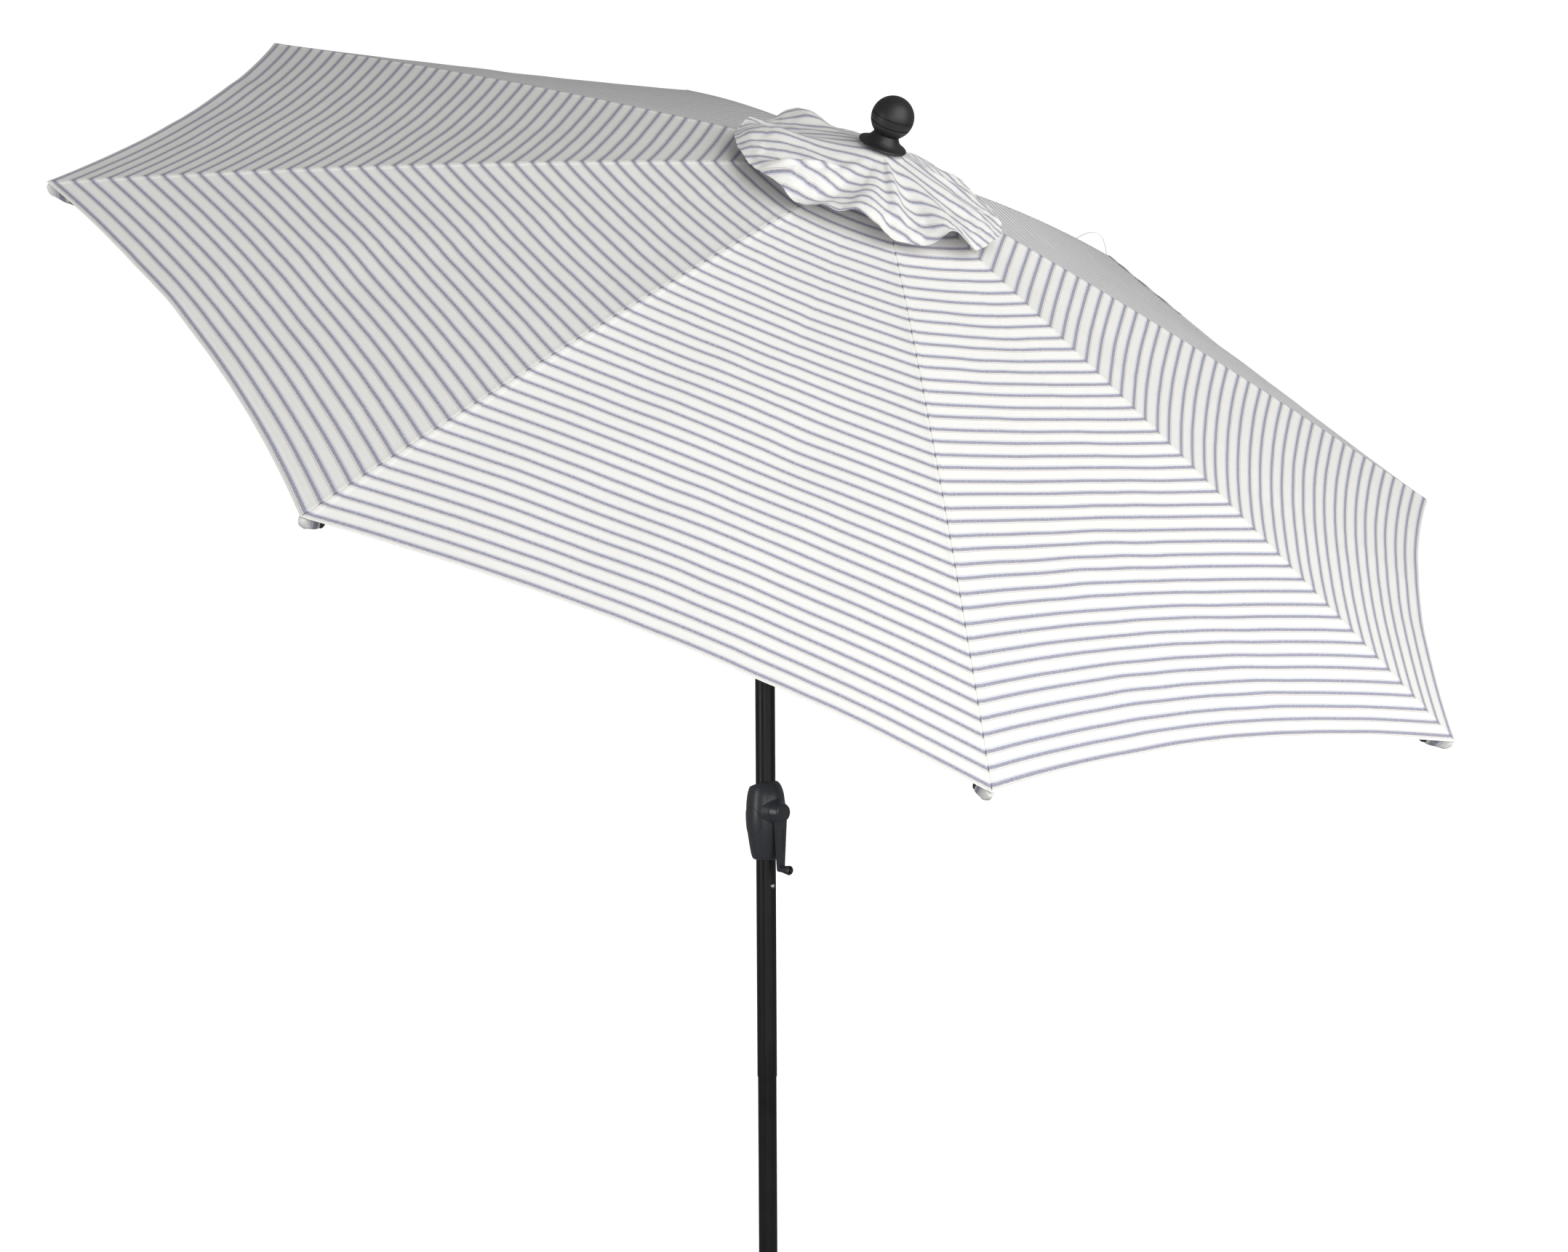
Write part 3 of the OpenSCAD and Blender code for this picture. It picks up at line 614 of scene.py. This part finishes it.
def cap_point(phi, e):
    reach = cap_reach(phi)
    r = CAP_R0 + e * (reach - CAP_R0)
    z = 657.0 - 3.0 * smooth(0.0, 0.1, e) - 69.0 * e**1.04
    # folds widen from the middle to the hem and lean a little on the way
    inward = 1 - e
    turned = phi - 16.0 * inward * np.exp(-((ang(phi, 292) / 26.0) ** 2))
    z = z + (cap_hem(turned) - 585.0) * e**2.1
    for a, tw, h, w, top in FOLDS:
        along = np.sin(np.pi * np.clip(e, 0, 1) ** (math.log(0.5) / math.log(top)))
        z = z + 1.25 * h * np.exp(-((ang(phi, a + tw * inward) / w) ** 2)) * along
    # the left lobe lies over the cloth next to it
    edge = 274.0 + 30.0 * inward
    over = 1 / (1 + np.exp(np.clip(ang(phi, edge) / 0.8, -30, 30)))
    z = z + 18.0 * over * np.exp(-((ang(phi, edge - 9) / 20.0) ** 2)) * smooth(0.35, 0.6, e) * (1 - 0.6 * smooth(0.9, 1.0, e))
    x, y = r * np.cos(np.radians(phi)), r * np.sin(np.radians(phi))
    z = z + 1.5 * ripple(x * 6.0, y * 6.0) * smooth(0.15, 0.9, e) + 0.8 * ripple(x * 15.0, y * 15.0) * smooth(0.5, 1.0, e)
    # the hem turns up in a few places and rolls under elsewhere
    lip = smooth(0.88, 1.0, e)
    curl = np.exp(-((ang(phi, 317) / 7.0) ** 2)) + 0.9 * np.exp(-((ang(phi, 1) / 6.0) ** 2)) + 0.5 * np.exp(-((ang(phi, 304) / 4.0) ** 2))
    curl = np.clip(curl + 0.6 * np.exp(-((ang(phi, 183) / 8.0) ** 2)), 0, 1)
    z = z + 3.5 * lip * curl
    r2 = r - 5.0 * lip * curl
    z = z - 2.0 * lip * (1 - curl)
    # never through the main cloth below
    floor_z = HUB_Z + (OFF + rise((r2 - HUB_R) / math.cos(SLOPE))) / math.cos(SLOPE) - (r2 - HUB_R) * math.tan(SLOPE) + 3.5
    z = np.where(r2 > VENT_R - 10, np.maximum(z, floor_z), z)
    z = np.where(r2 < 46, np.minimum(z, 657.5), z)
    return np.stack([r2 * np.cos(np.radians(phi)), r2 * np.sin(np.radians(phi)), z], -1)


CAP_ROWS = np.concatenate([np.linspace(0, 0.93, 52), [0.945, 0.96, 0.972, 0.984, 0.994, 1.0]])
CAP_COLS = 61
cap_area = []
for i in range(1, 9):
    az = az_of(i)
    phis = np.linspace(az - 22.5, az + 22.5, CAP_COLS)
    E_, PH = np.meshgrid(CAP_ROWS, phis, indexing="ij")
    P = cap_point(PH.reshape(-1), E_.reshape(-1))
    G = P.reshape(len(CAP_ROWS), CAP_COLS, 3)
    seg = np.linalg.norm(np.diff(G, axis=0), axis=2)
    arc = CAP_R0 + np.concatenate([np.zeros((1, CAP_COLS)), np.cumsum(seg, 0)], 0)
    fa = np.radians(PH - 315.0)
    # the cap is one piece of cloth, so its stripes all run one way
    flat_r = CAP_R0 + E_ * (cap_reach(PH) + 8 - CAP_R0)
    uv = np.stack([(flat_r * np.sin(fa)).reshape(-1) / 1000.0, (flat_r * np.cos(fa)).reshape(-1) / 1000.0], -1)
    ob = grid_mesh("vent_cap_%d" % i, to_world(P), len(CAP_ROWS), CAP_COLS, uv)
    cap_area.append(area_of(ob))
    thicken(ob, 0.8)
    ob.data.materials.append(M_CAP)
    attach(ob, "rib_%d" % i)
    anchor = to_world(turn([[HUB_R, 0, HUB_Z]], az))[0]
    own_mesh(ob)
    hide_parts("canopy_%d" % i)
print("cap areas", [round(a, 4) for a in cap_area])

# ---------------------------------------------------------------- pockets at the rib tips
def rib_to_canopy(p, az):
    """Points of a rib's own frame to the canopy's frame."""
    p = np.asarray(p, float).reshape(-1, 3)
    c, s = math.cos(SLOPE), math.sin(SLOPE)
    q = np.stack([p[:, 0] * c + p[:, 2] * s + HUB_R, p[:, 1], -p[:, 0] * s + p[:, 2] * c + HUB_Z], -1)
    return turn(q, az)


TIP = RIB_LEN - 12
for i in range(1, 9):
    az = az_of(i)
    base = [TIP, 0, float(rise(TIP))]
    la = lean(TIP)
    rings = []
    n = 28
    for x, hw, top, low in (
        (-14.0, 7.0, 11.2, -27.5),
        (-11.0, 7.3, 11.3, -26.6),
        (-5.0, 7.5, 11.3, -23.0),
        (2.0, 7.5, 11.3, -17.6),
        (9.0, 7.3, 11.0, -12.4),
        (13.5, 6.7, 10.0, -9.8),
        (16.4, 5.2, 8.2, -6.0),
        (18.2, 2.8, 6.0, -1.4),
        (18.8, 0.8, 4.8, 1.6),
    ):
        ring = []
        mid, half = (top + low) / 2, (top - low) / 2
        for k in range(n):
            a = 2 * math.pi * k / n
            ca, sa = math.cos(a), math.sin(a)
            y = hw * math.copysign(abs(ca) ** 0.6, ca)
            z = mid + half * math.copysign(abs(sa) ** 0.75, sa)
            wr = (0.45 if x < 18 else 0.1) * math.sin(3 * a + 0.5 * x + 1.7 * i) + 0.3 * math.sin(5 * a - 0.3 * x + i)
            px = x * math.cos(la) + z * math.sin(la)
            pz = -x * math.sin(la) + z * math.cos(la)
            ring.append([base[0] + px, y + wr * math.copysign(1.0, ca) * 0.6, base[2] + pz])
        rings.append(to_world(rib_to_canopy(ring, az)))
    ob = loft("tip_pocket_%d" % i, rings, caps=(False, True))
    thicken(ob, 0.7, offset=1.0)
    ob.data.materials.append(M_CAP)
    me = ob.data
    lay = me.uv_layers.new(name="Cut")
    tip = to_world(rib_to_canopy([base], az))[0]
    out_dir = to_world(rib_to_canopy([[base[0] + 1, 0, base[2]]], az))[0] - tip
    out_dir /= np.linalg.norm(out_dir)
    co = np.array([v.co for v in me.vertices])
    along = ((co - tip) @ out_dir) * 0.6 + 0.003
    lay.data.foreach_set("uv", np.array([[co[l.vertex_index][2], along[l.vertex_index]] for l in me.loops], np.float32).reshape(-1))
    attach(ob, "rib_%d" % i)

# ---------------------------------------------------------------- tie strap
SN = 60
rows = []
SN = 120
for w in (0.0, 0.25, 1.0, 17.0, 17.75, 18.0):
    s = -0.56 + 0.74 * np.arange(SN) / (SN - 1)
    thin = smooth(-0.01, 0.025, s) * 0.8
    r = np.full(SN, CANOPY_R - 24 + 9.0) + (w - 9.0) * (1 - thin)
    P = cloth_point(az_of(3), s, r)
    lift = 3.4 + np.where(s > 0.02, 40 * np.sin(np.pi * np.clip((s - 0.02) / 0.16, 0, 1)) ** 0.8, 0)
    lift += 0.8 * np.sin(s * 40.0) * (np.abs(s) > 0.05)
    P[:, 2] += lift
    rows.append(P)
P = np.concatenate(rows)
uv = np.stack([np.tile(np.arange(SN) / SN * 0.5, len(rows)), np.repeat([0.0115, 0.012, 0.0125, 0.0155, 0.016, 0.0165], SN)], -1)
strap = grid_mesh("strap_band", to_world(P), len(rows), SN, uv)
strap.data.flip_normals()
thicken(strap, 1.1)
strap.data.materials.append(M_CAP)
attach(strap, "rib_3")
tuple(to_world(turn([[HUB_R, 0, HUB_Z]], az_of(3)))[0])
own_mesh(strap)
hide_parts("tie_strap")

# ---------------------------------------------------------------- return run of the lift cord, from the head to the runner
rings = []
for z in np.linspace(RUN_TOP - 6, RUN_TOP + 60, 34):
    ring = []
    for k in range(16):
        a = 2 * math.pi * k / 16
        rr = 1.8 + 0.12 * math.sin(2 * a + z * 1.2)
        ring.append([24 + rr * math.cos(a), rr * math.sin(a), z])
    rings.append(to_world(ring))
cord = loft("cord_to_runner", rings)
cord.data.materials.append(M_CORD)
tuple(to_world([[24, 0, RUN_TOP + 60]])[0])
tuple(to_world([[24, 0, RUN_TOP - 6]])[0])
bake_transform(cord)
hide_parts("lift_cord_return")

# ---------------------------------------------------------------- studio
floor_me = bpy.data.meshes.new("floor")
floor_me.from_pydata([(-30, -30, 0), (30, -30, 0), (30, 30, 0), (-30, 30, 0)], [], [(0, 1, 2, 3)])
floor = bpy.data.objects.new("floor", floor_me)
bpy.context.scene.collection.objects.link(floor)
fm = Net("studio_floor")
fm.set(Base_Color=(0.85, 0.85, 0.85, 1), Roughness=0.9)
fm.bsdf.inputs["Emission Color"].default_value = (1, 1, 1, 1)
fm.bsdf.inputs["Emission Strength"].default_value = 1.0
floor_me.materials.append(fm.mat)
# the floor is pure white to the camera and throws no light back
floor.visible_diffuse = False
floor.visible_glossy = False

world = bpy.data.worlds.new("studio")
bpy.context.scene.world = world
world.use_nodes = True
wt = world.node_tree
wt.nodes.clear()
bg_light, bg_seen = wt.nodes.new("ShaderNodeBackground"), wt.nodes.new("ShaderNodeBackground")
bg_light.inputs[0].default_value, bg_light.inputs[1].default_value = (0.97, 0.985, 1.0, 1), 0.22
bg_seen.inputs[0].default_value, bg_seen.inputs[1].default_value = (1, 1, 1, 1), 1.05
lp, mx, wo = wt.nodes.new("ShaderNodeLightPath"), wt.nodes.new("ShaderNodeMixShader"), wt.nodes.new("ShaderNodeOutputWorld")
wt.links.new(lp.outputs["Is Camera Ray"], mx.inputs[0])
wt.links.new(bg_light.outputs[0], mx.inputs[1])
wt.links.new(bg_seen.outputs[0], mx.inputs[2])
wt.links.new(mx.outputs[0], wo.inputs[0])


def area_light(name, place, target, size, power, colour=(1, 1, 1)):
    l = bpy.data.lights.new(name, "AREA")
    l.shape, l.size, l.size_y = "RECTANGLE", size[0], size[1]
    l.energy, l.color = power, colour
    o = bpy.data.objects.new(name, l)
    bpy.context.scene.collection.objects.link(o)
    o.location = place
    o.rotation_mode = "QUATERNION"
    o.rotation_quaternion = (Vector(target) - Vector(place)).to_track_quat("-Z", "Y")
    return o


area_light("key", (4.0, 0.05, 2.9), (0.2, 0.0, 1.85), (4.6, 4.6), 176.0, (1.0, 0.997, 0.99))
area_light("front", (4.9, -4.6, 1.4), (0.0, 0.0, 1.7), (3.0, 3.0), 62.0, (0.985, 0.99, 1.0))
area_light("strip", (-0.6, -4.2, 1.6), (0.0, 0.0, 1.3), (0.5, 2.5), 38.0, (0.985, 0.99, 1.0))

bpy.context.scene.view_settings.view_transform = "Standard"
bpy.context.scene.view_settings.look = "None"
